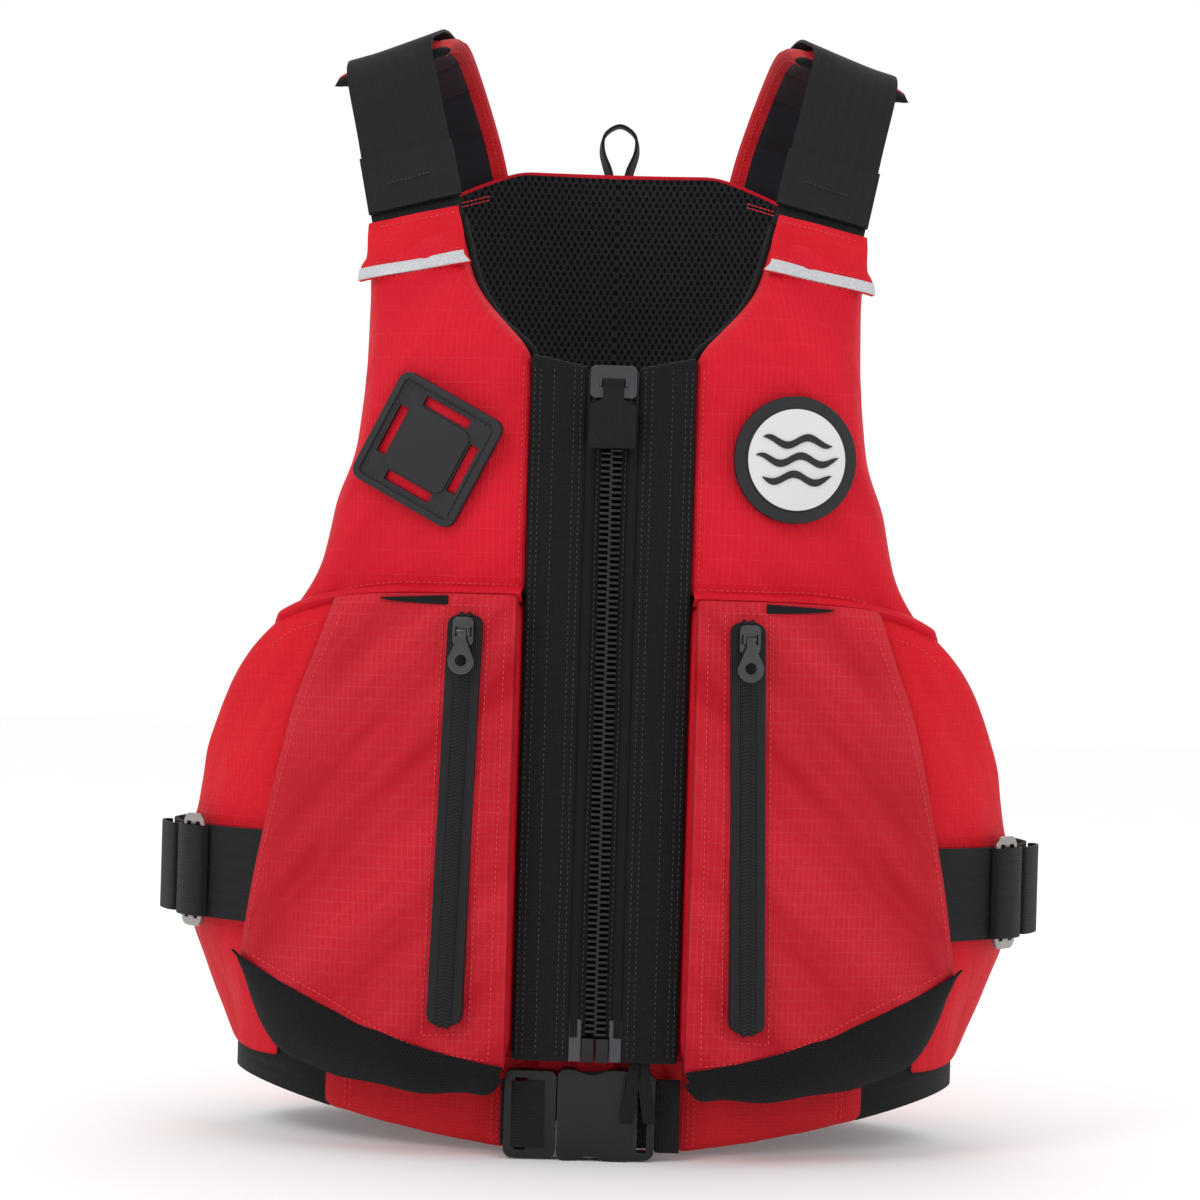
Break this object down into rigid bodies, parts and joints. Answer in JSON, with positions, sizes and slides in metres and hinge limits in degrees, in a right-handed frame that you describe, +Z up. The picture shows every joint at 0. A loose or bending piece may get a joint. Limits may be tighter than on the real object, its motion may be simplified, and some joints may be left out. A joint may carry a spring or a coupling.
{
  "type": "life jacket",
  "caption": "Paddling life jacket with a front zip, two zipped pockets, padded shoulders, side straps and a buckled waist belt.",
  "frame": {"origin": "on the ground under the middle of the box of the standing jacket", "axes": "+Z up, -Y out of the wearer's chest, +X towards the wearer's left"},
  "size_m": [0.4754, 0.288, 0.6031],
  "materials": {
    "red_fabric": "woven nylon over foam",
    "black_fabric": "spacer mesh and lining",
    "webbing": "woven strap",
    "plastic": "satin",
    "rubber": "matt",
    "steel": "bright",
    "reflective": "retroreflective"
  },
  "bodies": {
    "back": {"shoulder_pad_left": "black_fabric", "side_strap_rear_left": "webbing", "belt_sleeve_left": "red_fabric", "belt_side_web_left": "webbing", "shoulder_pad_right": "black_fabric", "side_strap_rear_right": "webbing", "belt_sleeve_right": "red_fabric", "belt_side_web_right": "webbing", "buckle_female": "plastic", "back_lower_panel": "red_fabric", "back_upper_panel": "red_fabric", "back_lining": "black_fabric", "belt_sleeve_back": "red_fabric", "waist_lining": "red_fabric", "belt_front_web": "webbing"},
    "front_left": {"chest_panel_left": "red_fabric", "waist_panel_left": "red_fabric", "side_panel_left": "red_fabric", "front_lining_left": "black_fabric", "zip_facing_left": "black_fabric", "zip_tape_left": "black_fabric", "pocket_left": "red_fabric", "pocket_gusset_left": "black_fabric", "pocket_zip_left": "webbing", "strap_anchor_left": "red_fabric", "reflective_strip_left": "reflective", "shoulder_strap_left": "webbing", "side_strap_left": "webbing", "badge": "rubber", "zip_box": "plastic", "webbing_tab": "webbing"},
    "front_right": {"chest_panel_right": "red_fabric", "waist_panel_right": "red_fabric", "side_panel_right": "red_fabric", "front_lining_right": "black_fabric", "zip_facing_right": "black_fabric", "zip_tape_right": "black_fabric", "pocket_right": "red_fabric", "pocket_gusset_right": "black_fabric", "pocket_zip_right": "webbing", "strap_anchor_right": "red_fabric", "reflective_strip_right": "reflective", "shoulder_strap_right": "webbing", "side_strap_right": "webbing", "lash_tab": "rubber", "zip_pin": "plastic"},
    "pocket_slider_left": {"pocket_slider_left": "plastic"},
    "pocket_pull_left": {"pocket_pull_left": "rubber"},
    "side_slider_left": {"side_slider_left": "steel"},
    "pocket_slider_right": {"pocket_slider_right": "plastic"},
    "pocket_pull_right": {"pocket_pull_right": "rubber"},
    "side_slider_right": {"side_slider_right": "steel"},
    "main_slider": {"main_slider": "steel"},
    "main_pull": {"main_pull": "webbing"},
    "buckle_male": {"buckle_male": "plastic"},
    "buckle_prong_upper": {"buckle_prong_upper": "plastic"},
    "buckle_prong_lower": {"buckle_prong_lower": "plastic"},
    "hang_loop": {"hang_loop": "webbing"}
  },
  "joints": [
    {"name": "front_left_open", "type": "hinge", "parent": "back", "child": "front_left", "pos_m": [0.226, 0.02007, 0.14], "axis": [-0.1662, -0.0665, 0.9839], "range_deg": [0, 45]},
    {"name": "front_right_open", "type": "hinge", "parent": "back", "child": "front_right", "pos_m": [-0.226, 0.02007, 0.14], "axis": [-0.1662, 0.0665, -0.9839], "range_deg": [0, 45]},
    {"name": "main_zip", "type": "slide", "parent": "front_left", "child": "main_slider", "axis": [0, 0, 1], "range_m": [-0.328, 0]},
    {"name": "main_pull_swing", "type": "hinge", "parent": "main_slider", "child": "main_pull", "pos_m": [0, -0.12723, 0.402], "axis": [-1, 0, 0], "range_deg": [0, 150]},
    {"name": "pocket_zip_left", "type": "slide", "parent": "front_left", "child": "pocket_slider_left", "axis": [-0.0263, -0.005, 0.9996], "range_m": [-0.192, 0]},
    {"name": "pocket_pull_swing_left", "type": "hinge", "parent": "pocket_slider_left", "child": "pocket_pull_left", "pos_m": [0.07365, -0.1411, 0.272], "axis": [-0.9833, -0.1818, 0], "range_deg": [0, 150]},
    {"name": "side_adjust_left", "type": "slide", "parent": "front_left", "child": "side_slider_left", "axis": [0.5582, 0.8297, 0], "range_m": [-0.014, 0]},
    {"name": "pocket_zip_right", "type": "slide", "parent": "front_right", "child": "pocket_slider_right", "axis": [0.0263, -0.005, 0.9996], "range_m": [-0.192, 0]},
    {"name": "pocket_pull_swing_right", "type": "hinge", "parent": "pocket_slider_right", "child": "pocket_pull_right", "pos_m": [-0.07365, -0.1411, 0.272], "axis": [-0.9833, 0.1818, 0], "range_deg": [0, 150]},
    {"name": "side_adjust_right", "type": "slide", "parent": "front_right", "child": "side_slider_right", "axis": [-0.5582, 0.8297, 0], "range_m": [-0.014, 0]},
    {"name": "buckle_release", "type": "slide", "parent": "back", "child": "buckle_male", "axis": [-1, 0, 0], "range_m": [0, 0.034]},
    {"name": "buckle_prong_upper_flex", "type": "hinge", "parent": "buckle_male", "child": "buckle_prong_upper", "pos_m": [-0.0186, -0.10593, 0.0345], "axis": [0, 1, 0], "range_deg": [0, 6], "stiffness_Nm_per_rad": 0.05},
    {"name": "buckle_prong_lower_flex", "type": "hinge", "parent": "buckle_male", "child": "buckle_prong_lower", "pos_m": [-0.0186, -0.10593, 0.0125], "axis": [0, -1, 0], "range_deg": [0, 6], "stiffness_Nm_per_rad": 0.05},
    {"name": "hang_loop_fold", "type": "hinge", "parent": "back", "child": "hang_loop", "pos_m": [0, 0.12707, 0.5364], "axis": [-1, 0, 0], "range_deg": [0, 75], "stiffness_Nm_per_rad": 0.02}
  ],
  "couplings": [
    {"joint": "front_right_open", "follows": "front_left_open", "ratio": 1},
    {"joint": "buckle_prong_lower_flex", "follows": "buckle_prong_upper_flex", "ratio": 1}
  ]
}
